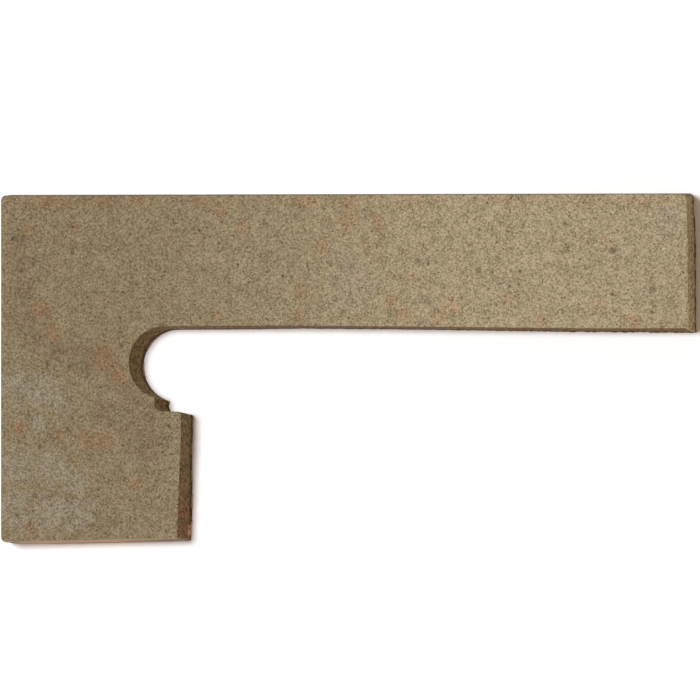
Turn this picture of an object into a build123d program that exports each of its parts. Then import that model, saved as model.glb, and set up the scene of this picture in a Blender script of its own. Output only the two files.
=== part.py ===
"""Stair skirting tile: one piece of fired stoneware, lying on its keyed back.

The long arm runs over a stair tread and the short leg stands against the riser below it. The
notch between them fits round the half-round nosing of the tread and the lip under that nosing.
Millimetres. +X runs along the arm, +Y up the wall as laid, +Z out of the wearing face.
The origin is at the middle of the bounding box, on the back.
"""

from build123d import *
import math
import os

# Outline, at the back, where it is widest
length = 400.0  # from the square end to the far end of the arm
height = 200.0  # from the foot of the leg to the top edge
arm_height = 77.2  # the band that stands above the tread, over the notch
tread_skew = 1.1  # the band is this much higher at the far end of the arm
leg_width = 108.8  # at the shoulder, just under the notch
leg_taper = 0.8  # the leg is this much narrower at its foot
foot_skew = 2.6  # the foot is this much shorter at the riser than at the square end
end_skew = 1.0  # the arm is this much shorter along its top edge

# Notch for the nosing, at the back
nose_radius = 20.5
nose_reach = 28.5  # from the riser edge to the deepest point of the notch
nose_wrap = 164.2  # degrees of the half round, from the arm round to the lip
lip_height = 7.8  # the small upright between the half round and the shoulder
lip_fillet = 4.2  # where the upright meets the shoulder

# Section, and how far each side leans in from the back to the face
thickness = 17.0  # over the keys of the back
moulded_lean = 0.5  # the square end and the top edge
end_lean = 1.3  # the far end of the arm
foot_lean = 1.7
tread_lean = 1.9  # the shoulder leans as much, out over the back
riser_lean = 3.5
nosing_lean = 5.0  # the half round and its upright, away from the riser edge
corner_radius = 3.0  # upright corners of the square end and of the top edge
shoulder_radius = 1.8  # upright corner between the shoulder and the riser edge
moulded_arris = 1.1  # rounding of the face along the top edge and the square end
cut_arris = 0.4  # rounding of the face along the edges that were cut

# Dovetail keys, which run along the back
key_pitch = 15.0
key_mouth = 6.5
key_root = 8.0
key_depth = 1.8
key_margin = 3.5  # least clay between the outermost key and a long edge

left = -length / 2
right = length / 2
top = height / 2
foot = -height / 2
tread_line = top - arm_height
riser_line = left + leg_width
nose_centre = (riser_line - nose_reach + nose_radius, tread_line - nose_radius)
lip_angle = math.radians(90 + nose_wrap)
lip_top = (
    nose_centre[0] + nose_radius * math.cos(lip_angle),
    nose_centre[1] + nose_radius * math.sin(lip_angle),
)
shoulder_line = lip_top[1] - lip_height


def leaning_wall(start, stop, lean):
    """The plane that stands on a line of the back and leans over to the left of its way."""
    along = Vector(*stop) - Vector(*start)
    over = Vector(-along.Y, along.X).normalized() * lean + Vector(0, 0, thickness)
    return Plane(origin=start, x_dir=along, z_dir=along.cross(over))


def leaning_block(outline, lean_x, lean_y):
    """The outline carried up from the back to the face, with a shift on the way."""
    way = Vector(lean_x, lean_y, thickness)
    return extrude(outline, way.length, dir=way.normalized())


def blank():
    """The full rectangle of clay, with the leaning sides of the square end, top, arm end and foot."""
    clay = Pos(0, 0, thickness / 2) * Box(length, height, thickness)
    sides = (
        ((left, top), (left, foot), moulded_lean),
        ((right, top), (left, top), moulded_lean),
        ((right, tread_line - tread_skew), (right - end_skew, top), end_lean),
        ((left, foot), (riser_line - leg_taper, foot + foot_skew), foot_lean),
    )
    for start, stop, lean in sides:
        clay = split(clay, leaning_wall(start, stop, lean), keep=Keep.BOTTOM)
    return clay


def nosing_space():
    """What is cut out under the arm, down to the shoulder: tread, half-round nosing and lip."""
    start = Vector(nose_centre[0], tread_line)
    end = Vector(right, tread_line - tread_skew)
    far = end + (end - start)
    rest = Polyline(lip_top, (lip_top[0], shoulder_line), (far.X, shoulder_line), far, start)
    outline = make_face([CenterArc(nose_centre, nose_radius, 90, nose_wrap), rest])
    return leaning_block(outline, -nosing_lean, tread_lean)


def riser_space():
    """What is cut out beside the leg, where the riser stands."""
    depth = nose_centre[1] - foot
    space = Pos(0, foot + depth / 2, thickness / 2) * Box(length, depth, thickness)
    wall = leaning_wall((riser_line - leg_taper, foot + foot_skew), (riser_line, shoulder_line), riser_lean)
    return split(space, wall, keep=Keep.TOP)


def uprights_near(tile, *places):
    """The edges that run up from the back nearest to the given places on it."""
    middle = thickness / 2
    uprights = tile.edges().filter_by(lambda edge: abs(edge.center().Z - middle) < middle / 2)
    return [uprights.sort_by_distance((x, y, middle))[0] for x, y in places]


def face_edge_near(tile, x, y):
    """The edge of the wearing face whose middle is nearest to a place."""
    edges = tile.faces().sort_by(Axis.Z)[-1].edges()
    return edges.sort_by_distance((x, y, thickness))[0]


def key_groove(middle):
    """One dovetail groove along the back, narrower at its mouth than at its root."""
    section = Plane.YZ * Pos(middle, 0, 0) * make_face(
        Polyline(
            (-key_mouth / 2, 0),
            (-key_root / 2, key_depth),
            (key_root / 2, key_depth),
            (key_mouth / 2, 0),
            close=True,
        )
    )
    return extrude(section, length, both=True)


def key_middles():
    """Where the grooves run, evenly spaced about the middle of the back."""
    reach = height / 2 - key_margin - key_root / 2
    each_side = int(reach // key_pitch)
    return [step * key_pitch for step in range(-each_side, each_side + 1)]


def skirting_tile():
    """The tile: clay blank, cut-out, rounded corners and arrises, and the keys along its back."""
    tile = blank() - nosing_space() - riser_space()
    corners = uprights_near(tile, (left, top), (left, foot), (right - end_skew, top))
    tile = fillet(corners, corner_radius)
    tile = fillet(uprights_near(tile, (riser_line, shoulder_line)), shoulder_radius)
    tile = fillet(uprights_near(tile, (lip_top[0], shoulder_line)), lip_fillet)
    tile = fillet(face_edge_near(tile, 0, top), moulded_arris)
    tile = fillet(face_edge_near(tile, (nose_centre[0] + right) / 2, tread_line), cut_arris)
    tile = fillet(face_edge_near(tile, riser_line, (shoulder_line + foot) / 2), cut_arris)
    return tile - [key_groove(middle) for middle in key_middles()]


os.makedirs("parts", exist_ok=True)
export_step(skirting_tile(), "parts/skirting_tile.step")
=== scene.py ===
"""Dresses the stair skirting tile: its clay relief, its fired finishes, and the stage it is shown on."""

import math

import bmesh
import bpy
import numpy as np
from bpy.props import FloatProperty, FloatVectorProperty, IntProperty, PointerProperty
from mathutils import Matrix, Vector, kdtree
from mathutils.geometry import delaunay_2d_cdt


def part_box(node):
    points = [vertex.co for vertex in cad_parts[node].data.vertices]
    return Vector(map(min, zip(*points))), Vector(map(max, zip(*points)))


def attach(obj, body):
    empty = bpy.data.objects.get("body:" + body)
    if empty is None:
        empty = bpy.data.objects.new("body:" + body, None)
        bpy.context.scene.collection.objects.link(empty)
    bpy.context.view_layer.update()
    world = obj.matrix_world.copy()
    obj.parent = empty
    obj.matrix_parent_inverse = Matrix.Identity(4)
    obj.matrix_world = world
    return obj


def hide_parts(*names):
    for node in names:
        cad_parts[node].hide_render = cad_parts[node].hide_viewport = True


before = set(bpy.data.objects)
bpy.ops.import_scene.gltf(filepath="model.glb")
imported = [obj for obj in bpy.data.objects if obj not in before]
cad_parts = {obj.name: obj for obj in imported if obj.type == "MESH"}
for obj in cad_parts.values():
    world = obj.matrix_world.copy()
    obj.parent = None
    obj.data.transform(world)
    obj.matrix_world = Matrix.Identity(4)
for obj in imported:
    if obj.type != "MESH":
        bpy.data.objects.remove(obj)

bl_info = {
    "name": "Stair skirting tile",
    "version": (1, 0, 0),
    "blender": (4, 5, 0),
    "location": "3D View > Sidebar > Tile",
    "description": "Builds the clay, the fired finishes and the stage of a stair skirting tile",
    "category": "Object",
}

NODE = "skirting_tile"
MM = 0.001  # a millimetre in the frame's metres
SHARP = math.radians(35)  # a turn of the outline that counts as a corner
FINISHES = ("Face", "Moulded edge", "Cut edge", "Back")
FACE, EDGE, CUT, BACK = range(len(FINISHES))
WALL_ROWS = 16  # rows of points up a wall, over the row at its foot
ARRIS_ROWS = 5  # rows of points round the arris, over those
PIT_RIM = 1.3  # where the face is whole again round a pit, in radii of the pit
MIX_A, MIX_B = 6, 7  # the two colours of a Mix node, whose sockets share their names
low_corner, high_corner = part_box(NODE)
thickness = high_corner[2] - low_corner[2]


def linear(hex_colour):
    """An sRGB hex colour as the linear values that a shader takes, fully opaque."""
    parts = [int(hex_colour[i : i + 2], 16) / 255 for i in (0, 2, 4)]
    return (*(c / 12.92 if c <= 0.04045 else ((c + 0.055) / 1.055) ** 2.4 for c in parts), 1.0)


def length(name, description, millimetres):
    """A length for the sidebar, written here in millimetres."""
    return FloatProperty(
        name=name, description=description, default=millimetres * MM, unit="LENGTH", precision=5
    )


def colour(name, description, hex_colour):
    """A colour for the sidebar, written here as sRGB hex."""
    return FloatVectorProperty(
        name=name, description=description, default=linear(hex_colour), subtype="COLOR", size=4
    )


class TileClay(bpy.types.PropertyGroup):
    """The shaped clay: its leaning edges, arrises, keys, pits and relief."""

    moulded_arris: length("Moulded arris", "Rounding of the face along the moulded edges", 1.1)
    cut_arris: length("Cut arris", "Rounding of the face along the cut edges", 0.4)
    key_pitch: length("Key pitch", "Distance between two grooves of the back", 15.0)
    key_mouth: length("Key mouth", "Width of a groove where it opens", 6.5)
    key_root: length("Key root", "Width of a groove at its bottom", 8.0)
    key_depth: length("Key depth", "Depth of a groove", 1.8)
    face_grain: length("Face grain", "Distance between the points of the face", 0.95)
    back_grain: length("Back grain", "Distance between the points of the back", 3.0)
    waviness: length("Waviness", "Depth of the slow waves in the face", 0.16)
    cut_roughness: length("Cut roughness", "Depth of the torn clay on the cut edges", 0.3)
    chip_depth: length("Chip depth", "Depth of the nicks along the cut arrises", 0.7)
    burr: length("Burr", "How far the torn lip under the arm stands out", 0.9)
    back_roughness: length("Back roughness", "Depth of the unevenness of the back", 0.12)
    pit_count: IntProperty(name="Pits", description="How many open pits the face has", default=44)
    pit_depth: length("Pit depth", "Depth of an open pit", 0.45)
    seed: IntProperty(name="Seed", description="Which of the random patterns is drawn", default=7)


class TileFinish(bpy.types.PropertyGroup):
    """The fired colours."""

    # Both ends of the face, and of the ochre blooms, hold the flash and also a painted falloff of light,
    # darker towards the square end.
    square_end: colour("Face, square end", "Face colour at the square end", "847354")
    arm_end: colour("Face, arm end", "Face colour at the far end of the arm", "A2916F")
    ochre: colour("Ochre bloom", "Colour of the reddish blooms at the square end", "886140")
    pale_ochre: colour("Pale ochre bloom", "Colour of the reddish blooms at the far end of the arm", "A47D5A")
    mauve: colour("Mauve bloom", "Colour of the greyish blooms in the face", "948979")
    umber: colour("Umber bloom", "Colour of the dark brown blooms at the square end", "786549")
    # The open pits take this colour as painted shade in their hollows.
    fleck: colour("Iron fleck", "Colour of the dark flecks and of the open pits", "3C2C14")
    # This colour also paints the pale line on the foot's arris, partly as a painted highlight.
    grog: colour("Pale grog", "Colour of the pale grains in the clay", "C9BC9B")
    cut_clay: colour("Cut clay", "Colour of the edges that were cut", "7B6541")
    cut_red: colour("Reddish cut clay", "Colour of the redder stretches of the cut edges", "86593C")
    end_clay: colour("End clay", "Colour of the far end of the arm", "A9936B")
    moulded: colour("Moulded edge", "Colour of the edges that the mould shaped", "6E6352")
    body: colour("Raw body", "Colour of the clay under the finish", "DDB08C")
    dusty: colour("Dusty body", "Colour of the darker clouds in the back", "9A7A5A")


class TileStage(bpy.types.PropertyGroup):
    """The camera, the lamp and the floor."""

    camera_turn: FloatProperty(
        name="Camera turn",
        description="How far the camera stands to the right of upright",
        default=math.radians(11.5),
        subtype="ANGLE",
    )
    camera_distance: length("Camera distance", "From the camera to the face", 8000.0)
    picture_width: length("Picture width", "Width that the picture shows at the face", 396.7)
    aim_right: length("Aim, right", "How far right of the tile's middle the camera looks", 3.62)
    aim_up: length("Aim, up", "How far above the tile's middle the camera looks", 11.39)
    sky: FloatProperty(
        name="Sky", description="Share of the light that comes from all round", default=0.25, subtype="FACTOR"
    )


# Places in the face, in mm from the tile's middle: x, y and radius, and the strength where it isn't 1.
# They are where the firing coloured this tile, rounded to what the eye can place.
OCHRE_BLOOMS = (
    (-139, -40, 5), (-150, -40, 6), (-166, -36, 3), (-189, -33, 4), (-139, 6, 8), (-131, -4, 5),
    (-176, 34, 6), (-169, 21, 5), (-120, -64, 4), (-183, -89, 4), (-183, 80, 4), (-157, 81, 4),
    (-173, 96, 5), (-139, 97, 5), (-118, 97, 4), (-20, 96, 5), (2, 94, 5), (-73, 31, 3), (-54, 28, 2),
    (-72, 90, 5), (-59, 81, 4), (-13, 70, 4, 1.5), (2, 84, 6), (21, 84, 5), (-26, 31, 5), (-24, 44, 4),
    (13, 71, 2), (39, 52, 3), (28, 39, 4), (35, 31, 5), (60, 36, 6), (54, 30, 5), (95, 41, 4),
    (113, 28, 4), (147, 35, 5, 0.6), (156, 59, 3), (151, 73, 3), (166, 28, 5),
)
MAUVE_BLOOMS = (
    (-190, -9, 10), (-175, -12, 10), (-165, -20, 6), (-190, -55, 11), (-172, -56, 11), (-156, -62, 7),
    (-190, -80, 11), (-172, -80, 12), (-155, -82, 10), (-178, -31, 5), (187, 86, 8), (5, 48, 14, 0.6),
)
UMBER_BLOOMS = (
    (-188, 74, 8), (-188, 60, 10), (-187, 45, 10), (-186, 31, 10), (-179, 19, 10), (-168, 11, 9),
    (-156, 8, 9), (-144, 5, 9), (-134, -5, 9), (-127, -18, 11), (-120, -32, 12), (-112, -44, 10),
    (-138, -24, 9),
)
IRON_SPOTS = (
    (128, 68.5, 2, 0.4), (155, 67.5, 2, 0.8), (78, 56.5, 2, 0.5), (88.5, 63, 1.5, 0.4), (43, 61, 2, 0.4),
    (51.5, 73.5, 1.5, 0.5), (177.5, 45, 2, 0.5), (-8, 60.5, 1.5, 0.4), (95.5, 47.5, 1, 1),
    (-11.5, 91.5, 1, 0.8), (-190, -82.5, 1, 0.8), (-175.5, -14, 1, 0.7), (-44, 56, 1, 0.6),
    (139.5, 57.5, 1, 0.7), (112, 72, 1, 0.6), (-104.5, 26, 1, 0.9),
)

# How far some edges stray from straight, in mm: a place along the edge, then the shift there.
# Along the tread by x, in y, on the back and on the face. Along the foot by x, in y, on the back.
# Down the riser edge by y, in x, on the back and on the face. Down the arm's end by y, in x, on the back.
TREAD_BOW = (
    (-92, 0, 0), (-54, 0.5, 0.3), (-27, 1, 0.5), (31, 0.7, 0.2), (89, 0.2, -0.2), (146, -0.2, -0.5),
    (176, -0.2, -0.4), (199, -0.6, -0.3),
)
FOOT_WEAR = ((-194, 1.2), (-188, 0.8), (-182, 0.6), (-171, 0.2), (-155, 0), (-105, 0), (-92, 0.4))
RISER_TWIST = (
    (-96, -0.1, -0.9), (-86, 0.1, -0.7), (-75, 0.5, -0.4), (-64, 0.4, -0.1), (-53, 0, 0.2), (-41, 0.2, 0.6),
    (-20, 0.8, 0.5), (-10, 0, 0),
)
END_BOW = ((22, 0), (50, 0.3), (74, 0.5), (85, 0), (94, -0.5))

# Chips low on the riser edge, near the back: y, z and radius, in mm.
RAW_CHIPS = ((-89, 2.5, 1), (-92.5, 2.5, 1.8), (-95.5, 1.5, 1))


def ramp(values, start, stop):
    """The share of the way that each value has gone from start to stop, held between 0 and 1."""
    return np.clip((values - start) / (stop - start), 0, 1)


def outline_at(height):
    """The solid's outline at a height: x and y of its corners and arc points, anticlockwise."""
    mesh = bmesh.new()
    mesh.from_mesh(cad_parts[NODE].data)
    bmesh.ops.remove_doubles(mesh, verts=mesh.verts, dist=0.001 * MM)
    bmesh.ops.bisect_plane(
        mesh,
        geom=mesh.verts[:] + mesh.edges[:] + mesh.faces[:],
        plane_co=(0, 0, height),
        plane_no=(0, 0, 1),
        clear_inner=True,
        clear_outer=True,
    )
    mesh.verts.ensure_lookup_table()
    first = here = mesh.verts[0]
    edge = here.link_edges[0]
    ring = []
    while not ring or here is not first:
        ring.append(tuple(here.co.xy))
        here = edge.other_vert(here)
        edge = next(other for other in here.link_edges if other is not edge)
    mesh.free()
    ring = np.array(ring)
    after = np.roll(ring, -1, axis=0)
    if np.sum(ring[:, 0] * after[:, 1] - after[:, 0] * ring[:, 1]) < 0:
        ring = ring[::-1]
    straight = math.radians(0.05)
    return sharpened(ring[turns(ring)[0] > straight])


def sharpened(ring):
    """The ring with a single corner in place of each short, tight run of points that rounds one."""
    tight, short = 0.3 * MM, 1.0 * MM
    gap = np.linalg.norm(ring - np.roll(ring, 1, axis=0), axis=1)
    first = np.argmax(gap)
    ring, gap = np.roll(ring, -first, axis=0), np.roll(gap, -first)
    starts = np.flatnonzero(gap > tight)
    points = []
    for start, stop in zip(starts, [*starts[1:], len(ring)]):
        into = ring[start] - ring[start - 1]
        out = ring[stop % len(ring)] - ring[stop - 1]
        bend = (into[0] * out[1] - into[1] * out[0]) / np.linalg.norm(into) / np.linalg.norm(out)
        if gap[start + 1 : stop].sum() > short or abs(bend) < math.sin(SHARP):
            points += list(ring[start:stop])
            continue
        share = np.linalg.solve(np.column_stack([into, out]), ring[stop - 1] - ring[start])[0]
        points.append(ring[start] + into * share)
    return np.array(points)


def turns(ring):
    """The angle that the ring turns by at each point, and the unit normals of the edges beside it."""
    run = np.roll(ring, -1, axis=0) - ring
    run /= np.linalg.norm(run, axis=1)[:, None]
    normal = np.stack([run[:, 1], -run[:, 0]], axis=1)
    normal_before = np.roll(normal, 1, axis=0)
    cosine = np.clip(np.sum(normal * normal_before, axis=1), -1, 1)
    return np.arccos(cosine), normal_before, normal


def near_corner(ring, corner):
    """How near each point of a ring is to one of its corners, along the ring: 1 at it, 0 from 5 mm on."""
    step = np.linalg.norm(np.roll(ring, -1, axis=0) - ring, axis=1)
    travelled = np.cumsum(step) - step
    away = np.abs(travelled - travelled[corner])
    away = np.minimum(away, step.sum() - away)
    return np.clip(1 - away / (5 * MM), 0, 1)


def spread_corners(ring, way):
    """Adds to the moves of a ring's points, so that those beside a sharp corner slide along with it."""
    run = np.roll(ring, -1, axis=0) - np.roll(ring, 1, axis=0)
    run /= np.linalg.norm(run, axis=1)[:, None]
    spread = way.copy()
    for corner in np.flatnonzero(turns(ring)[0] > SHARP):
        slide = (run @ way[corner]) * near_corner(ring, corner)
        slide[corner] = 0
        spread += run * slide[:, None]
    return spread


def outward(ring):
    """Mitred outward normals: a step of 1 along them moves both edges beside a point by 1."""
    _, before, after = turns(ring)
    middle = before + after
    return spread_corners(ring, middle / np.sum(middle * after, axis=1)[:, None])


def stretches(height):
    """The solid's outline at a height, in stretches that run from corner to corner."""
    ring = outline_at(height)
    ring = np.roll(ring, -np.argmin(ring.sum(axis=1)), axis=0)
    gap = np.linalg.norm(ring - np.roll(ring, 1, axis=0), axis=1)
    turn = turns(ring)[0]
    starts = np.flatnonzero(gap > 1.0 * MM)
    corners = []
    for start, stop in zip(starts, [*starts[1:], starts[0] + len(ring)]):
        run = np.arange(start, stop) % len(ring)
        turned = np.cumsum(turn[run])
        if turned[-1] > SHARP:
            corners.append(run[np.argmin(np.abs(turned - turned[-1] / 2))])
    ring = np.roll(ring, -corners[0], axis=0)
    corners = [corner - corners[0] for corner in corners] + [len(ring)]
    ring = np.vstack([ring, ring[:1]])
    return [ring[start : stop + 1] for start, stop in zip(corners, corners[1:])]


def points_along(stretch, shares):
    """Points of a stretch at the given shares of its length."""
    run = np.linalg.norm(np.diff(stretch, axis=0), axis=1)
    travelled = np.concatenate([[0], np.cumsum(run)]) / run.sum()
    return np.column_stack([np.interp(shares, travelled, axis) for axis in stretch.T])


def even_shares(stretch, spacing):
    """Shares of a stretch's length that stand evenly along it, closer together on its tight bends."""
    step_turn = math.radians(12)
    run = np.diff(stretch, axis=0)
    gap = np.linalg.norm(run, axis=1)
    bend = np.arccos(np.clip(np.sum(run[1:] * run[:-1], axis=1) / gap[1:] / gap[:-1], -1, 1))
    effort = gap / spacing
    effort[1:] += bend / 2 / step_turn
    effort[:-1] += bend / 2 / step_turn
    travelled = np.concatenate([[0], np.cumsum(effort)])
    gone = np.concatenate([[0], np.cumsum(gap)]) / gap.sum()
    stops = np.linspace(0, travelled[-1], math.ceil(travelled[-1]) + 1)[:-1]
    return np.interp(stops, travelled, gone)


def walls_of_tile(spacing):
    """The tile's walls: x and y on the back, then x and y on the face, for places all round it."""
    clear = 2.5 * MM  # keeps the cuts off the keys of the back and the arris of the face
    low, high = clear, thickness - clear
    walls = []
    for below, middle, above in zip(stretches(low), stretches(thickness / 2), stretches(high), strict=True):
        shares = even_shares(middle, spacing)
        lower, upper = points_along(below, shares), points_along(above, shares)
        slope = (upper - lower) / (high - low)
        walls.append(np.concatenate([lower - slope * low, upper + slope * (thickness - high)], axis=1))
    walls = strayed(np.concatenate(walls))
    walls[:, :2] = np.clip(walls[:, :2], low_corner.xy, high_corner.xy)
    return walls


def strayed(walls):
    """The walls with their slight bows, twist and wear, each of them faded out where its edge ends."""
    walls = walls.copy()
    x, y = walls[:, 0] / MM, walls[:, 1] / MM
    along_x, along_y = 0, 1
    shifts = (
        (TREAD_BOW, x, along_y, ramp(y, 32, 23)),
        (FOOT_WEAR, x, along_y, ramp(y, -90, -98)),
        (RISER_TWIST, y, along_x, ramp(x, -100, -94)),
        (END_BOW, y, along_x, ramp(x, 190, 196)),
    )
    for table, places, axis, share in shifts:
        at, *by = np.array(table).T
        for column, shift in zip((axis, axis + 2), by):
            walls[:, column] += np.interp(places, at, shift) * (share * MM)
    return walls


def middle_of(walls):
    """The ring half way up the walls."""
    return (walls[:, :2] + walls[:, 2:]) / 2


def key_lines(clay):
    """The middles of the grooves, and how far from them a groove's root and mouth are drawn on the back.

    The back is drawn flat: a groove's leaning wall takes a strip just outside its root, and
    keyed() then folds it under. So the strip never crosses the wall above it.
    """
    strip = 0.9 * MM
    edge_margin = 3.5 * MM
    half_root = clay.key_root / 2
    reach = high_corner[1] - edge_margin - half_root
    each_side = int(reach // clay.key_pitch)
    middles = [step * clay.key_pitch for step in range(-each_side, each_side + 1)]
    return middles, half_root, half_root + strip


def key_levels(clay):
    """Every height y at which a groove's mouth or root is drawn on the flat back."""
    middles, half_root, half_flat = key_lines(clay)
    halves = (half_root, half_flat)
    return np.array([middle + side * half for middle in middles for half in halves for side in (-1, 1)])


def keyed(clay, y):
    """Where the points of the flat back go: their change in y, and their height z."""
    middles, half_root, half_flat = key_lines(clay)
    half_mouth = clay.key_mouth / 2
    half_pitch = clay.key_pitch / 2
    middle = np.array(middles)[np.argmin(np.abs(y[:, None] - np.array(middles)), axis=1)]
    away = np.abs(y - middle)
    stops = [0, half_root, half_flat, half_pitch, 1]
    moved = np.interp(away, stops, [0, half_root, half_mouth, half_pitch, 1])
    lift = np.interp(away, stops, [clay.key_depth, clay.key_depth, 0, 0, 0])
    return np.sign(y - middle) * (moved - away), lift


def with_crossings(walls, levels):
    """The walls with a place wherever their foot crosses one of the levels y, and which level each is on."""
    places = []
    marks = []
    for here, there in zip(walls, np.roll(walls, -1, axis=0)):
        places.append(here)
        marks.append(-1)
        low, high = here[1], there[1]
        crossed = [
            ((level - low) / (high - low), index)
            for index, level in enumerate(levels)
            if (level - low) * (level - high) < 0
        ]
        for share, index in sorted(crossed):
            places.append(here + (there - here) * share)
            marks.append(index)
    return np.array(places), np.array(marks)


def thinned(walls, marks, least):
    """Drops unmarked places that stand closer than least to a marked one."""
    ring = middle_of(walls)
    corner = turns(ring)[0] > SHARP
    near = np.zeros(len(ring), bool)
    for way in (1, -1):
        gap = np.linalg.norm(ring - np.roll(ring, way, axis=0), axis=1)
        near |= (np.roll(marks, way) >= 0) & (gap < least)
    keep = (marks >= 0) | corner | ~near
    return walls[keep], marks[keep]


def inside_rows(ring, spacing):
    """Points in staggered rows inside a ring, clear of it by most of the spacing."""
    points = []
    after = np.roll(ring, -1, axis=0)
    row_step = spacing * math.sqrt(0.75)
    rows = int((ring[:, 1].max() - ring[:, 1].min()) / row_step)
    for row in range(rows + 1):
        y = ring[:, 1].min() + row * row_step
        crossed = (ring[:, 1] > y) != (after[:, 1] > y)
        share = (y - ring[crossed, 1]) / (after[crossed, 1] - ring[crossed, 1])
        stops = np.sort(ring[crossed, 0] + (after[crossed, 0] - ring[crossed, 0]) * share)
        for start, stop in zip(stops[::2], stops[1::2]):
            first = math.ceil(start / spacing) + (row % 2) / 2
            xs = np.arange(first * spacing, stop, spacing)
            points += [(x, y) for x in xs]
    return clear_of(points, ring, 0.7 * spacing)


def clear_of(points, others, distance):
    """Those of the points that lie further than distance from each of the others."""
    tree = kdtree.KDTree(len(others))
    for index, (x, y) in enumerate(others):
        tree.insert((x, y, 0), index)
    tree.balance()
    return [(x, y) for x, y in points if tree.find((x, y, 0))[2] > distance]


def triangulated(points, edges):
    """Triangles between the points, inside the ring that the edges close."""
    scale = 1 / MM
    flat = [Vector((x * scale, y * scale)) for x, y in points]
    made, _, triangles, origins, _, _ = delaunay_2d_cdt(flat, edges, [], 1, 1e-7)
    if len(made) != len(points):
        raise RuntimeError("two points of the tile's face or back fell on each other")
    origin = [source[0] for source in origins]
    return [tuple(origin[corner] for corner in triangle) for triangle in triangles]


def ring_edges(count):
    """Edges that close a ring of points."""
    return [(index, (index + 1) % count) for index in range(count)]


def moulded_share(ring):
    """1 where the ring runs along the square end, the top or the foot, 0 along every edge that was cut."""
    way = outward(ring)
    near = 4.2 * MM
    leaning = 0.5
    sides = (
        (way[:, 0] < -leaning) & (ring[:, 0] < low_corner[0] + near),
        (way[:, 1] > leaning) & (ring[:, 1] > high_corner[1] - near),
        (way[:, 1] < -leaning) & (ring[:, 1] < low_corner[1] + near),
    )
    share = np.any(sides, axis=0).astype(float)
    for _ in range(2):
        share = (np.roll(share, 1) + 2 * share + np.roll(share, -1)) / 4
    return share


def wall_rows(clay, walls, moulded):
    """Rows of points from the back up to the face, one point of each row for each place of the walls."""
    base, edge = walls[:, :2], walls[:, 2:]
    ring = middle_of(walls)
    turn, before, after = turns(ring)
    across = (before + after) / np.linalg.norm(before + after, axis=1)[:, None]
    shift, lift = keyed(clay, base[:, 1])
    shift[turn > SHARP] = 0

    # A point moves with its groove by sliding along the wall, but not where the wall runs along the grooves.
    upright = np.abs(across[:, :1])
    shallow, steep = 0.3, 0.7
    sideways = -across[:, 1:] * np.sign(across[:, :1])
    slide = np.concatenate([sideways, upright], axis=1) / np.maximum(upright, shallow)
    under = base + slide * ramp(upright, shallow, steep) * shift[:, None]
    rows = [np.column_stack([under, lift])]

    lean = np.arctan2(np.sum((base - edge) * across, axis=1), thickness)
    radius = clay.cut_arris + (clay.moulded_arris - clay.cut_arris) * moulded
    over_keys = 0.6 * MM
    start = clay.key_depth + over_keys
    stop = thickness - radius + radius * np.sin(lean)
    for step in range(WALL_ROWS):
        z = start + (stop - start) * step / (WALL_ROWS - 1)
        rows.append(np.column_stack([base + (edge - base) * (z / thickness)[:, None], z]))
    way = outward(ring)
    centre_in = radius * np.tan((math.pi / 2 - lean) / 2)
    for step in range(1, ARRIS_ROWS + 1):
        turned = lean + (math.pi / 2 - lean) * step / ARRIS_ROWS
        inset = centre_in - radius * np.cos(turned)
        z = thickness - radius + radius * np.sin(turned)
        rows.append(np.column_stack([edge - way * inset[:, None], z]))
    return rows


def pits(clay, ring, places):
    """Open pits in the face: their middles and radii, scattered among the places but clear of the edge."""
    off_edge = 3 * MM
    draw = np.random.default_rng(clay.seed)
    clear = clear_of(places, ring, off_edge)
    chosen = draw.choice(len(clear), clay.pit_count, replace=False)
    small, large = 0.5 * MM, 1.3 * MM
    radii = small + (large - small) * draw.random(clay.pit_count) ** 2
    return [(*clear[index], radius) for index, radius in zip(chosen, radii)]


def around_pit(x, y, radius):
    """Points that draw one pit: its middle, two rings on its wall and one outside its lip."""
    points = [(x, y)]
    for share, count in ((0.5, 6), (0.9, 10), (PIT_RIM, 12)):
        for step in range(count):
            turn = math.tau * step / count
            points.append((x + share * radius * math.cos(turn), y + share * radius * math.sin(turn)))
    return points


def face_points(clay, ring):
    """Points of the face inside its ring, finer at the pits, and how deep each is sunk, from 0 to 1."""
    apart = 4 * MM
    rows = inside_rows(ring, clay.face_grain)
    points = np.array(rows)
    extra = []
    for x, y, radius in pits(clay, ring, rows):
        if any(math.hypot(x - pit[0], y - pit[1]) < apart for pit in extra):
            continue
        away = np.hypot(points[:, 0] - x, points[:, 1] - y)
        points = points[away > PIT_RIM * radius + 0.5 * clay.face_grain]
        extra.append((x, y, radius))
    rims = [point for pit in extra for point in around_pit(*pit)]
    points = np.concatenate([points, np.array(rims)])
    sunk = np.zeros(len(points))
    for x, y, radius in extra:
        away = np.hypot(points[:, 0] - x, points[:, 1] - y) / radius
        sunk = np.maximum(sunk, 1 - np.clip(away, 0, 1) ** 2)
    return points, sunk


def back_points(clay, base, marks):
    """Points of the flat back inside its ring, and the edges that draw the grooves across it."""
    spacing = clay.back_grain
    points = []
    edges = []
    for mark in range(marks.max() + 1):
        ends = sorted(np.flatnonzero(marks == mark), key=lambda index: base[index, 0])
        for start, stop in zip(ends[::2], ends[1::2]):
            count = max(1, round((base[stop, 0] - base[start, 0]) / spacing))
            chain = [start]
            for step in range(1, count):
                share = step / count
                points.append(tuple(base[start] * (1 - share) + base[stop] * share))
                chain.append(len(base) + len(points) - 1)
            chain.append(stop)
            edges += list(zip(chain, chain[1:]))
    levels = key_levels(clay)
    rows = [(x, y) for x, y in inside_rows(base, spacing) if np.abs(levels - y).min() > 0.3 * spacing]
    return np.array(points + rows), edges


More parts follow.
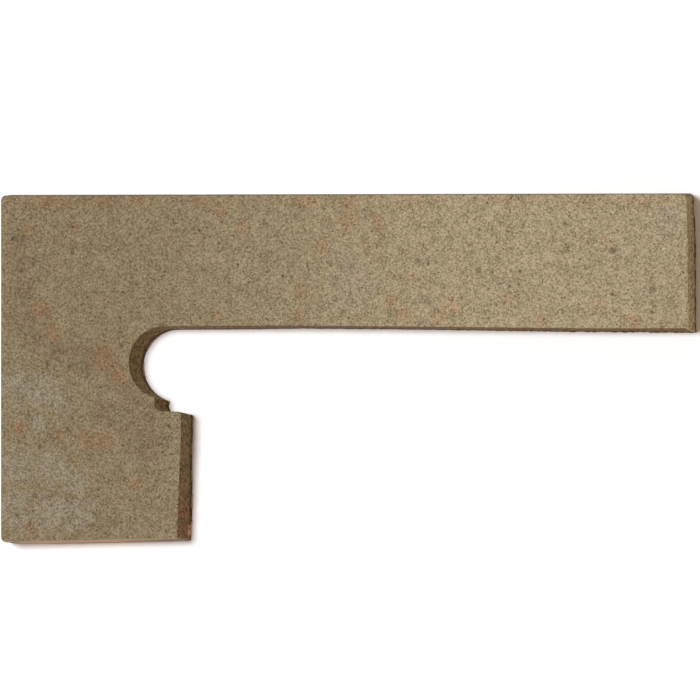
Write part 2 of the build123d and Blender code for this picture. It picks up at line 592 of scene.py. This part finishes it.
def soft_spots(points, spots, softness):
    """How strongly each point is inside the spots, which fade out about their rims."""
    share = np.zeros(len(points))
    for x, y, radius, *strength in spots:
        away = np.hypot(points[:, 0] - x * MM, points[:, 1] - y * MM) / (radius * MM)
        inside = ramp(away, 1 + softness / 2, 1 - softness / 2)
        inside = inside * inside * (3 - 2 * inside)
        share = np.maximum(share, inside * (strength[0] if strength else 1))
    return share


def along_top(points):
    """How near each point is to the reddish line that the firing left just under the top edge."""
    line, reach = 95, 4
    return np.clip(1 - np.abs(points[:, 1] / MM - line) / reach, 0, 1)


def lip_share(base):
    """How far the torn lip of the back stands out: most under the far half of the arm, none at its end."""
    x, y = base.T / MM
    under_arm = (x > -96) & (y < 25)
    beside_leg = (x > -95) & (y < -80)
    along_arm = np.interp(x, [-90, -80, 60, 110, 196, 199], [0, 0.15, 0.35, 1, 1, 0])
    return np.where(beside_leg, 0.5, np.where(under_arm, along_arm, 0))


def surface_shares(points, base, moulded, sunk):
    """How much of each wear and colour every point gets, by name. The wall rows come first, then the face."""
    names = ("cut", "rim", "worn", "burr", "pit", "back")
    shares = {name: np.zeros(len(points)) for name in names}
    count = len(base)
    first_arris = 1 + WALL_ROWS
    rim_rows, lip_rows = 3, 5
    by_keys = 0.6
    at_foot = moulded * (base[:, 1] < low_corner[1] + 4 * MM)
    torn_lip = lip_share(base)
    for number in range(first_arris + ARRIS_ROWS):
        row = slice(number * count, (number + 1) * count)
        on_rim = max(0.0, 1 - abs(number - first_arris) / rim_rows)
        shares["cut"][row] = 1 - moulded
        shares["rim"][row] = on_rim * (1 - at_foot)
        # The foot's arris is paler, partly a painted highlight where it catches the light.
        shares["worn"][row] = on_rim * at_foot
        shares["burr"][row] = max(0.0, 1 - number / lip_rows) * torn_lip
    first_face = (first_arris + ARRIS_ROWS) * count
    first_back = first_face + len(sunk)
    shares["cut"][:count] *= by_keys
    shares["back"][:count] = 1.0
    shares["back"][first_back:] = 1.0
    # The pits' share also darkens them as painted shade in their hollows.
    shares["pit"][first_face:first_back] = sunk
    riser, reach = -93, 5
    by_riser = np.abs(points[:, 0] / MM - riser) < reach
    return shares | {
        "chip": soft_spots(points[:, 1:], RAW_CHIPS, 0.8) * by_riser,
        "ochre": np.maximum(soft_spots(points, OCHRE_BLOOMS, 1.2), 0.7 * along_top(points)),
        "mauve": soft_spots(points, MAUVE_BLOOMS, 1.0),
        "umber": soft_spots(points, UMBER_BLOOMS, 1.2),
        "iron": soft_spots(points, IRON_SPOTS, 0.7),
    }


def tile_mesh(clay):
    """The tile's closed mesh in the frame's place, with the attributes that its relief and finishes read."""
    walls, marks = with_crossings(walls_of_tile(clay.face_grain), key_levels(clay))
    closest = 0.45 * clay.face_grain
    walls, marks = thinned(walls, marks, closest)
    moulded = moulded_share(middle_of(walls))
    rows = wall_rows(clay, walls, moulded)
    count = len(walls)
    ring = ring_edges(count)
    base, face_ring = walls[:, :2], rows[-1][:, :2]
    on_face, sunk = face_points(clay, face_ring)
    on_back, key_edges = back_points(clay, base, marks)
    shift, lift = keyed(clay, on_back[:, 1])
    points = np.concatenate([
        *rows,
        np.column_stack([on_face, thickness - clay.pit_depth * sunk]),
        np.column_stack([on_back[:, 0], on_back[:, 1] + shift, lift]),
    ])
    points[:, 2] += low_corner[2]

    faces = []
    finish = []
    for row in range(len(rows) - 1):
        low, high = row * count, (row + 1) * count
        uncut = FACE if row >= WALL_ROWS else EDGE
        for here, there in ring:
            faces.append((low + here, low + there, high + there, high + here))
            finish.append(CUT if moulded[here] < 0.5 else uncut)
    top = (len(rows) - 1) * count
    first_face = len(rows) * count
    first_back = first_face + len(on_face)
    for triangle in triangulated(np.concatenate([face_ring, on_face]), ring):
        faces.append(tuple(top + c if c < count else first_face + c - count for c in triangle))
        finish.append(FACE)
    for triangle in triangulated(np.concatenate([base, on_back]), ring + key_edges):
        faces.append(tuple(c if c < count else first_back + c - count for c in triangle[::-1]))
        finish.append(BACK)
    mesh = bpy.data.meshes.new("tile")
    mesh.from_pydata(points.tolist(), [], faces)
    for name, values in surface_shares(points, base, moulded, sunk).items():
        mesh.attributes.new(name, "FLOAT", "POINT").data.foreach_set("value", values)
    mesh.attributes.new("finish", "INT", "FACE").data.foreach_set("value", finish)
    return mesh


def add(tree, kind, inputs=(), **settings):
    """Adds a node. An input, by name or number, takes a value, an output, or a node for its first output."""
    node = tree.nodes.new(kind)
    for name, value in settings.items():
        setattr(node, name, value)
    for name, value in dict(inputs).items():
        if isinstance(value, bpy.types.Node):
            value = next(output for output in value.outputs if output.enabled)
        if isinstance(value, bpy.types.NodeSocket):
            tree.links.new(value, node.inputs[name])
        else:
            node.inputs[name].default_value = value
    return node


def relief_tree():
    """Geometry Nodes that wear the clay's surface inwards and give each surface its finish."""
    tree = bpy.data.node_groups.new("fired clay relief", "GeometryNodeTree")
    for in_out in ("INPUT", "OUTPUT"):
        tree.interface.new_socket("Geometry", in_out=in_out, socket_type="NodeSocketGeometry")
    for name in ("Waviness", "Cut roughness", "Chip depth", "Burr", "Back roughness"):
        socket = tree.interface.new_socket(name, in_out="INPUT", socket_type="NodeSocketFloat")
        socket.subtype = "DISTANCE"
    tree.interface.new_socket("Seed", in_out="INPUT", socket_type="NodeSocketInt")
    for name in FINISHES:
        tree.interface.new_socket(name, in_out="INPUT", socket_type="NodeSocketMaterial")
    given = add(tree, "NodeGroupInput").outputs
    cut, rim, chip, burr, back = (
        add(tree, "GeometryNodeInputNamedAttribute", {"Name": name}, data_type="FLOAT")
        for name in ("cut", "rim", "chip", "burr", "back")
    )
    position = add(tree, "GeometryNodeInputPosition")
    place = add(tree, "ShaderNodeVectorMath", {0: position, "Scale": 1 / MM}, operation="SCALE")
    off_back = add(tree, "ShaderNodeMath", {0: 1.0, 1: back}, operation="SUBTRACT")
    cut_rim = add(tree, "ShaderNodeMath", {0: cut, 1: rim}, operation="MULTIPLY")

    # For each kind of wear: its pitch in mm, detail and roughness, the levels of its noise at which it
    # starts and is full, the input that gives its depth, and how much of it a place gets.
    kinds = (
        (38, 1.0, 0.5, 0.0, 1.0, "Waviness", off_back),
        (2.6, 3.0, 0.6, 0.3, 0.7, "Cut roughness", cut),
        (4.5, 2.0, 0.6, 0.52, 0.72, "Chip depth", cut_rim),
        (9, 2.0, 0.5, 0.0, 1.0, "Back roughness", back),
        (3.2, 2.0, 0.7, 0.38, 0.65, "Burr", burr),
    )
    depths = []
    for pitch, detail, roughness, start, full, depth, share in kinds:
        inputs = {"Vector": place, "W": given["Seed"], "Scale": 1 / pitch, "Detail": detail}
        inputs["Roughness"] = roughness
        noise = add(tree, "ShaderNodeTexNoise", inputs, noise_dimensions="4D")
        level = add(tree, "ShaderNodeMapRange", {"Value": noise, "From Min": start, "From Max": full})
        level = add(tree, "ShaderNodeMath", {0: level, 1: given[depth]}, operation="MULTIPLY")
        depths.append(add(tree, "ShaderNodeMath", {0: level, 1: share}, operation="MULTIPLY"))
    *inward, torn_out = depths

    # The raw chips are a fifth as deep as the nicks, and the torn lip stands out sideways only.
    total = add(tree, "ShaderNodeMath", {0: chip, 1: 0.2}, operation="MULTIPLY")
    total = add(tree, "ShaderNodeMath", {0: total, 1: given["Chip depth"]}, operation="MULTIPLY")
    for wear in inward:
        total = add(tree, "ShaderNodeMath", {0: total, 1: wear}, operation="ADD")
    total = add(tree, "ShaderNodeMath", {0: total, 1: -1.0}, operation="MULTIPLY")
    normal = add(tree, "GeometryNodeInputNormal")
    worn = add(tree, "ShaderNodeVectorMath", {0: normal, "Scale": total}, operation="SCALE")
    sideways = add(tree, "ShaderNodeVectorMath", {0: normal, 1: (1, 1, 0)}, operation="MULTIPLY")
    inputs = {0: sideways, 1: torn_out, 2: worn}
    offset = add(tree, "ShaderNodeVectorMath", inputs, operation="MULTIPLY_ADD")
    shaped = add(tree, "GeometryNodeSetPosition", {"Geometry": given["Geometry"], "Offset": offset})
    shaped = add(tree, "GeometryNodeRealizeInstances", {"Geometry": shaped})

    # Inputs 2 and 3 are the whole numbers that a Compare node compares.
    finish = add(tree, "GeometryNodeInputNamedAttribute", {"Name": "finish"}, data_type="INT")
    for number, name in enumerate(FINISHES):
        chosen = add(tree, "FunctionNodeCompare", {2: finish, 3: number}, data_type="INT", operation="EQUAL")
        inputs = {"Geometry": shaped, "Selection": chosen, "Material": given[name]}
        shaped = add(tree, "GeometryNodeSetMaterial", inputs)
    add(tree, "NodeGroupOutput", {0: shaped})
    return tree


def in_scene(name, data):
    """An object of the scene with the given mesh, lamp or camera."""
    made = bpy.data.objects.new(name, data)
    bpy.context.scene.collection.objects.link(made)
    return made


def relieved(mesh, clay, materials):
    """The tile as an object, its surface worn by the relief nodes and its finishes set."""
    raw = in_scene("raw_tile", mesh)
    modifier = raw.modifiers.new("relief", "NODES")
    modifier.node_group = relief_tree()
    values = {
        "Waviness": clay.waviness,
        "Cut roughness": clay.cut_roughness,
        "Chip depth": clay.chip_depth,
        "Burr": clay.burr,
        "Back roughness": clay.back_roughness,
        "Seed": clay.seed,
        **materials,
    }
    for socket in modifier.node_group.interface.items_tree:
        if socket.in_out == "INPUT" and socket.name in values:
            modifier[socket.identifier] = values[socket.name]
    bpy.context.view_layer.update()
    depsgraph = bpy.context.evaluated_depsgraph_get()
    worn = bpy.data.meshes.new_from_object(raw.evaluated_get(depsgraph), depsgraph=depsgraph)
    bpy.data.objects.remove(raw)

    # The torn lip may stand past the solid's box, so it is held inside.
    places = np.empty(3 * len(worn.vertices))
    worn.vertices.foreach_get("co", places)
    within = np.clip(places.reshape(-1, 3), low_corner, high_corner)
    worn.vertices.foreach_set("co", within.ravel())
    return in_scene("clay_tile", worn)


def new_material(name, *patterns):
    """A material with an empty shader, places in mm, and a noise for each pattern.

    A pattern is its pitch in mm, its detail and its roughness.
    """
    material = bpy.data.materials.new(name)
    material.use_nodes = True
    tree = material.node_tree
    tree.nodes.clear()
    coordinates = add(tree, "ShaderNodeTexCoord").outputs["Object"]
    place = add(tree, "ShaderNodeVectorMath", {0: coordinates, "Scale": 1 / MM}, operation="SCALE")
    noises = []
    for pitch, detail, roughness in patterns:
        inputs = {"Vector": place, "Scale": 1 / pitch, "Detail": detail, "Roughness": roughness}
        noises.append(add(tree, "ShaderNodeTexNoise", inputs))
    return material, tree, place, *noises


def close_shader(tree, base, roughness, height, depth):
    """Ends a material: its colour, its roughness, and bumps of the given depth."""
    bump = add(tree, "ShaderNodeBump", {"Height": height, "Distance": depth, "Strength": 1.0})
    inputs = {"Base Color": base, "Roughness": roughness, "Specular IOR Level": 0.3, "Normal": bump}
    shader = add(tree, "ShaderNodeBsdfPrincipled", inputs)
    add(tree, "ShaderNodeOutputMaterial", {"Surface": shader})


def grained(tree, base, grain, reach, low, high):
    """The base colour darkened and lightened by a grain, from low to high as it runs through its middle."""
    middle = 0.5
    ends = {"From Min": middle - reach, "From Max": middle + reach, "To Min": low, "To Max": high}
    shade = add(tree, "ShaderNodeMapRange", {"Value": grain} | ends)
    inputs = {0: 1.0, MIX_A: base, MIX_B: shade}
    return add(tree, "ShaderNodeMix", inputs, data_type="RGBA", blend_type="MULTIPLY")


def flecked(tree, place, base, kinds):
    """The base colour with grains in it: their pitch, how few of them show, their size, colour and strength.

    Every cell of a pattern holds one grain, and few of the grains are large enough to show.
    """
    rim = 0.1
    for pitch, fewest, reach, tint, strength in kinds:
        cells = add(tree, "ShaderNodeTexVoronoi", {"Vector": place, "Scale": 1 / pitch})
        drawn = add(tree, "ShaderNodeSeparateColor", {0: cells.outputs["Color"]})
        size = add(tree, "ShaderNodeMapRange", {"Value": drawn, "From Min": fewest, "To Max": reach})
        inside = add(tree, "ShaderNodeMath", {0: size, 1: cells}, operation="SUBTRACT")
        share = add(tree, "ShaderNodeMapRange", {"Value": inside, "From Max": rim, "To Max": strength})
        base = add(tree, "ShaderNodeMix", {0: share, MIX_A: base, MIX_B: tint}, data_type="RGBA")
    return base


def flashed_face(finish):
    """The wearing face: stoneware flashed in a reducing fire."""
    # Dense clay, hardly glossy: olive brown, clouded, flecked with iron and pitted, the pits darkened as
    # painted shade in their hollows. It is paler along the arm, partly by its flash and partly by painted
    # light that falls off towards the square end.
    # Its real grains of 0.1 to 0.5 mm are too fine to show, so grain and flecks are drawn at 1 to 2 mm.
    patterns = ((6, 2.0, 0.5), (1.15, 3.0, 0.72))
    material, tree, place, patches, grain = new_material("flashed stoneware face", *patterns)
    x = add(tree, "ShaderNodeSeparateXYZ", {0: place}).outputs["X"]
    # Paler towards the arm's end: partly the flash, partly a painted falloff of light towards the square end.
    # It grades the ochre blooms too.
    inputs = {"Value": x, "From Min": -150.0, "From Max": 110.0}
    paler = add(tree, "ShaderNodeMapRange", inputs, interpolation_type="SMOOTHSTEP")
    base, ochre = (
        add(tree, "ShaderNodeMix", {0: paler, MIX_A: near, MIX_B: far}, data_type="RGBA")
        for near, far in ((finish.square_end, finish.arm_end), (finish.ochre, finish.pale_ochre))
    )

    # Clouds: one colour noise drifts all three tints, and the placed blooms lift it where they lie.
    # Each kind has the attribute of its blooms, its channel of the noise, its tint and its strength.
    inputs = {"Vector": place, "Scale": 1 / 7, "Detail": 3.5, "Roughness": 0.65, "Distortion": 0.4}
    drift = add(tree, "ShaderNodeTexNoise", inputs).outputs["Color"]
    drift = add(tree, "ShaderNodeSeparateColor", {0: drift}).outputs
    lift = 0.36
    clouds = (("umber", 2, finish.umber, 0.75), ("mauve", 1, finish.mauve, 0.36), ("ochre", 0, ochre, 0.5))
    for name, channel, tint, strength in clouds:
        placed = add(tree, "ShaderNodeAttribute", attribute_name=name).outputs["Fac"]
        share = add(tree, "ShaderNodeMath", {0: placed, 1: lift, 2: drift[channel]}, operation="MULTIPLY_ADD")
        inputs = {"Value": share, "From Min": 0.52, "From Max": 0.92, "To Max": strength}
        share = add(tree, "ShaderNodeMapRange", inputs, interpolation_type="SMOOTHSTEP")
        base = add(tree, "ShaderNodeMix", {0: share, MIX_A: base, MIX_B: tint}, data_type="RGBA")

    # Grain over slow patches: its dark grains are browner than the face, its light ones greyer.
    lit = add(tree, "ShaderNodeMath", {0: patches, 1: 0.2, 2: grain}, operation="MULTIPLY_ADD")
    lit = add(tree, "ShaderNodeMapRange", {"Value": lit, "From Min": 0.38, "From Max": 0.78})
    dark, light = (0.35, 0.30, 0.21, 1), (1.55, 1.61, 1.77, 1)
    shade = add(tree, "ShaderNodeMix", {0: lit, MIX_A: dark, MIX_B: light}, data_type="RGBA")
    inputs = {0: 1.0, MIX_A: base, MIX_B: shade}
    base = add(tree, "ShaderNodeMix", inputs, data_type="RGBA", blend_type="MULTIPLY")
    grains = ((2.1, 0.45, 0.30, finish.fleck, 0.8), (1.9, 0.70, 0.24, finish.grog, 0.5))
    base = flecked(tree, place, base, grains)

    # The outer arris is pale along the foot, partly a paler glaze edge and partly a painted highlight where
    # it catches the light, and is a dark line elsewhere, as iron spots are. The pits take the dark tint too,
    # as painted shade in their hollows.
    layers = (
        (finish.grog, {"worn": 0.9}),
        (finish.fleck, {"iron": 0.8, "pit": 0.75, "rim": 0.35}),
    )
    for tint, marks in layers:
        most = 0.0
        for name, strength in marks.items():
            share = add(tree, "ShaderNodeAttribute", attribute_name=name).outputs["Fac"]
            share = add(tree, "ShaderNodeMath", {0: share, 1: strength}, operation="MULTIPLY")
            most = add(tree, "ShaderNodeMath", {0: share, 1: most}, operation="MAXIMUM")
        base = add(tree, "ShaderNodeMix", {0: most, MIX_A: base, MIX_B: tint}, data_type="RGBA")
    inputs = {"Value": grain, "From Min": 0.3, "From Max": 0.7, "To Min": 0.85, "To Max": 0.7}
    roughness = add(tree, "ShaderNodeMapRange", inputs)
    close_shader(tree, base, roughness, grain, 0.12 * MM)
    return material


def moulded_edge(finish):
    """The square end, the top and the foot, as the mould left them."""
    # The skin that a mould leaves: even, grey brown and without gloss. The finish thins out over it,
    # reddish near the back, where it is also darkened as painted shade at the foot of the wall, and bares the
    # pale body along the foot. Its grain is drawn at 1.1 mm to show.
    patterns = ((12, 3.0, 0.6), (1.1, 3.0, 0.75))
    material, tree, place, clouds, grain = new_material("moulded stoneware edge", *patterns)
    parts = add(tree, "ShaderNodeSeparateXYZ", {0: place}).outputs

    # Raw along the foot, but less past its middle, not at its worn corner, and a little streaky.
    # Each limit is a place or a noise, where its share starts and stops, and the shares at both.
    limits = (
        (parts["Y"], -94.0, -95.0, 0.0, 1.0),
        (parts["X"], -135.0, -104.0, 1.0, 0.3),
        (parts["X"], -193.0, -187.0, 0.0, 1.0),
        (clouds, 0.35, 0.6, 0.75, 1.0),
    )
    raw = 1.0
    for value, start, stop, low, high in limits:
        inputs = {"Value": value, "From Min": start, "From Max": stop, "To Min": low, "To Max": high}
        share = add(tree, "ShaderNodeMapRange", inputs)
        raw = add(tree, "ShaderNodeMath", {0: raw, 1: share}, operation="MULTIPLY")
    inputs = {0: raw, MIX_A: finish.moulded, MIX_B: finish.body}
    base = add(tree, "ShaderNodeMix", inputs, data_type="RGBA")
    # Near the back the skin is reddish and darker: partly the body's colour, partly painted shade where the
    # wall meets the floor.
    inputs = {"Value": parts["Z"], "From Min": 4.0, "From Max": 1.5, "To Max": 0.7}
    near_back_painted_shade = add(tree, "ShaderNodeMapRange", inputs)
    base = add(tree, "ShaderNodeMix", {0: near_back_painted_shade, MIX_A: base, MIX_B: finish.cut_red}, data_type="RGBA")
    base = grained(tree, base, grain, reach=0.2, low=0.6, high=1.4)
    close_shader(tree, base, 0.8, grain, 0.15 * MM)
    return material


def cut_edge(finish):
    """The cut edges, torn by the wire: redder low on the leg, paler at the arm's end."""
    # Torn clay, rough and without gloss, dark brown with black and pale grains that the cut laid open.
    # The grains are drawn at about 2 mm, coarser than the real ones, to show.
    patterns = ((5, 3.0, 0.65), (2.0, 4.0, 0.75))
    material, tree, place, clouds, grain = new_material("wire-cut stoneware edge", *patterns)
    parts = add(tree, "ShaderNodeSeparateXYZ", {0: place}).outputs

    # Each limit is a place, where its share starts and stops, and the shares at both.
    limits = (
        (parts["X"], 196.0, 197.5, 0.0, 1.0),
        (parts["Y"], 55.0, 35.0, 0.7, 1.0),
        (parts["Y"], -30.0, -97.0, 0.0, 0.22),
        (parts["X"], -95.0, -85.0, 0.0, 0.16),
        (parts["Z"], 4.4, 1.4, 0.0, 0.8),
    )
    shares = []
    for value, start, stop, low, high in limits:
        inputs = {"Value": value, "From Min": start, "From Max": stop, "To Min": low, "To Max": high}
        shares.append(add(tree, "ShaderNodeMapRange", inputs))
    # The last two limits: the foot of the walls near the back, darkened below as painted shade, and the edge
    # over the tread, which is redder and also darkened as painted shade under the arm.
    past_arm, lighter, low_on_leg, on_tread, near_back_painted_shade = shares
    at_end = add(tree, "ShaderNodeMath", {0: past_arm, 1: lighter}, operation="MULTIPLY")
    inputs = {0: at_end, MIX_A: finish.cut_clay, MIX_B: finish.end_clay}
    base = add(tree, "ShaderNodeMix", inputs, data_type="RGBA")

    # Redder stretches: low on the leg, along the tread, and in patches elsewhere.
    # Along the tread the edge is redder, its own colour, and darker as painted shade where it faces down
    # under the arm.
    off_end = add(tree, "ShaderNodeMath", {0: on_tread, 1: at_end}, operation="SUBTRACT")
    placed = add(tree, "ShaderNodeMath", {0: low_on_leg, 1: off_end}, operation="MAXIMUM")
    patch = add(tree, "ShaderNodeMath", {0: clouds, 1: placed}, operation="ADD")
    redder = add(tree, "ShaderNodeMapRange", {"Value": patch, "From Min": 0.55, "From Max": 0.85})
    base = add(tree, "ShaderNodeMix", {0: redder, MIX_A: base, MIX_B: finish.cut_red}, data_type="RGBA")
    base = grained(tree, base, grain, reach=0.18, low=0.0, high=2.3)
    grains = ((2.4, 0.35, 0.34, finish.fleck, 0.75), (2.2, 0.55, 0.3, finish.grog, 0.3))
    base = flecked(tree, place, base, grains)

    # The torn lip near the back is darkened as painted shade where the walls meet the floor, and all of the
    # edge over the tread as painted shade where it faces down under the arm. Chips are raw.
    dark = add(tree, "ShaderNodeMath", {0: near_back_painted_shade, 1: off_end}, operation="MAXIMUM")
    chip = add(tree, "ShaderNodeAttribute", attribute_name="chip").outputs["Fac"]
    for share, tint in ((dark, finish.fleck), (chip, finish.body)):
        base = add(tree, "ShaderNodeMix", {0: share, MIX_A: base, MIX_B: tint}, data_type="RGBA")
    close_shader(tree, base, 0.9, grain, 0.3 * MM)
    return material


def bare_back(finish):
    """The back: unfinished stoneware body, dusty and a little uneven in colour."""
    # Clay that took no flash: pale, dry and without gloss. Its grain is drawn at 1.2 mm to show.
    patterns = ((25, 4.0, 0.6), (1.2, 3.0, 0.75))
    material, tree, _, clouds, grain = new_material("bare stoneware back", *patterns)
    share = add(tree, "ShaderNodeMapRange", {"Value": clouds, "From Min": 0.35, "From Max": 0.65})
    inputs = {0: share, MIX_A: finish.body, MIX_B: finish.dusty}
    base = add(tree, "ShaderNodeMix", inputs, data_type="RGBA")
    base = grained(tree, base, grain, reach=0.2, low=0.75, high=1.25)
    close_shader(tree, base, 0.9, grain, 0.2 * MM)
    return material


class TILE_OT_build(bpy.types.Operator):
    """Builds the fired clay tile in place of the plain solid"""

    bl_idname = "tile.build"
    bl_label = "Build the tile"

    def execute(self, context):
        clay = context.scene.tile_clay
        makers = (flashed_face, moulded_edge, cut_edge, bare_back)
        materials = {name: maker(context.scene.tile_finish) for name, maker in zip(FINISHES, makers)}
        tile = relieved(tile_mesh(clay), clay, materials)
        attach(tile, "root")
        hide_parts(NODE)
        return {"FINISHED"}


def seen_white(tree):
    """1 for what the camera sees of the surroundings, directly or in gloss, and 0 for the light they give."""
    path = add(tree, "ShaderNodeLightPath").outputs
    seen = path["Is Camera Ray"]
    for ray in ("Is Glossy Ray", "Is Transmission Ray"):
        seen = add(tree, "ShaderNodeMath", {0: seen, 1: path[ray]}, operation="MAXIMUM")
    return seen


def lay_floor():
    """A floor that goes pure white in the picture where it is lit, and keeps the tile's shadow."""
    half = 20.0
    mesh = bpy.data.meshes.new("floor")
    corners = [(-half, -half, 0), (half, -half, 0), (half, half, 0), (-half, half, 0)]
    mesh.from_pydata(corners, [], [(0, 1, 2, 3)])
    floor = in_scene("floor", mesh)
    material, tree, _ = new_material("white paper floor")

    # Paper, matt and white. What the camera sees of it is lifted a little, so that it ends pure white.
    grey, paper = (0.8, 0.8, 0.8, 1), (1.13, 1.09, 1.07, 1)
    inputs = {0: seen_white(tree), MIX_A: grey, MIX_B: paper}
    white = add(tree, "ShaderNodeMix", inputs, data_type="RGBA")
    surface = add(tree, "ShaderNodeBsdfDiffuse", {"Color": white})
    add(tree, "ShaderNodeOutputMaterial", {"Surface": surface})
    mesh.materials.append(material)


def hang_sky(light):
    """The given warm light from all round, and white wherever the camera sees past the floor."""
    world = bpy.data.worlds.new("studio")
    bpy.context.scene.world = world
    world.use_nodes = True
    tree = world.node_tree
    tree.nodes.clear()
    inputs = {0: seen_white(tree), MIX_A: (*light, 1), MIX_B: (1, 1, 1, 1)}
    seen = add(tree, "ShaderNodeMix", inputs, data_type="RGBA")
    sky = add(tree, "ShaderNodeBackground", {"Color": seen})
    add(tree, "ShaderNodeOutputWorld", {"Surface": sky})


def hang_lamp(light):
    """A broad lamp up to the left, strong enough to show the face's colours about as they are written."""
    way = Vector((-0.39, 0.16, 1)).normalized()
    distance, width = 5.0, 1.35
    lamp = bpy.data.lights.new("key", "AREA")
    lamp.shape = "SQUARE"
    lamp.size = width
    lamp.color = light
    lamp.energy = math.pi**2 * distance**2 / way.z
    holder = in_scene("key", lamp)
    holder.location = way * distance
    holder.rotation_euler = way.to_track_quat("Z", "Y").to_euler()


def stand_camera(stage):
    """A long lens far off, turned a little to the right of upright."""
    back = Vector((math.sin(stage.camera_turn), 0, math.cos(stage.camera_turn)))
    aim = Vector((stage.aim_right, stage.aim_up, thickness))
    camera = bpy.data.cameras.new("camera")
    camera.sensor_width = 36.0
    camera.lens = camera.sensor_width * stage.camera_distance / stage.picture_width
    camera.clip_end = 50.0
    holder = in_scene("camera", camera)
    holder.location = aim + back * stage.camera_distance
    holder.rotation_euler = (0, stage.camera_turn, 0)
    bpy.context.scene.camera = holder


class TILE_OT_stage(bpy.types.Operator):
    """Lays the floor, hangs the lamp and stands the camera"""

    bl_idname = "tile.stage"
    bl_label = "Set the stage"

    def execute(self, context):
        stage = context.scene.tile_stage
        lay_floor()
        warmth = (1.22, 0.97, 0.74)
        sky = [stage.sky * part for part in warmth]
        hang_sky(sky)
        hang_lamp([1 - part for part in sky])
        stand_camera(stage)
        context.scene.view_settings.view_transform = "Standard"
        return {"FINISHED"}


class TILE_PT_panel(bpy.types.Panel):
    """The tile's settings and its two buttons"""

    bl_label = "Stair skirting tile"
    bl_space_type = "VIEW_3D"
    bl_region_type = "UI"
    bl_category = "Tile"

    def draw(self, context):
        scene = context.scene
        for group in (scene.tile_clay, scene.tile_finish, scene.tile_stage):
            box = self.layout.box()
            for name in group.__annotations__:
                box.prop(group, name)
        self.layout.operator(TILE_OT_build.bl_idname)
        self.layout.operator(TILE_OT_stage.bl_idname)


CLASSES = (TileClay, TileFinish, TileStage, TILE_OT_build, TILE_OT_stage, TILE_PT_panel)


def register():
    """Registers the classes and hangs the three groups of settings on the scene."""
    for item in CLASSES:
        bpy.utils.register_class(item)
    bpy.types.Scene.tile_clay = PointerProperty(type=TileClay)
    bpy.types.Scene.tile_finish = PointerProperty(type=TileFinish)
    bpy.types.Scene.tile_stage = PointerProperty(type=TileStage)


def unregister():
    """Takes back all that register() did."""
    del bpy.types.Scene.tile_stage
    del bpy.types.Scene.tile_finish
    del bpy.types.Scene.tile_clay
    for item in reversed(CLASSES):
        bpy.utils.unregister_class(item)


def main():
    """Builds everything."""
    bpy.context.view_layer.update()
    register()
    bpy.ops.tile.build()
    bpy.ops.tile.stage()


if __name__ == "__main__":
    main()
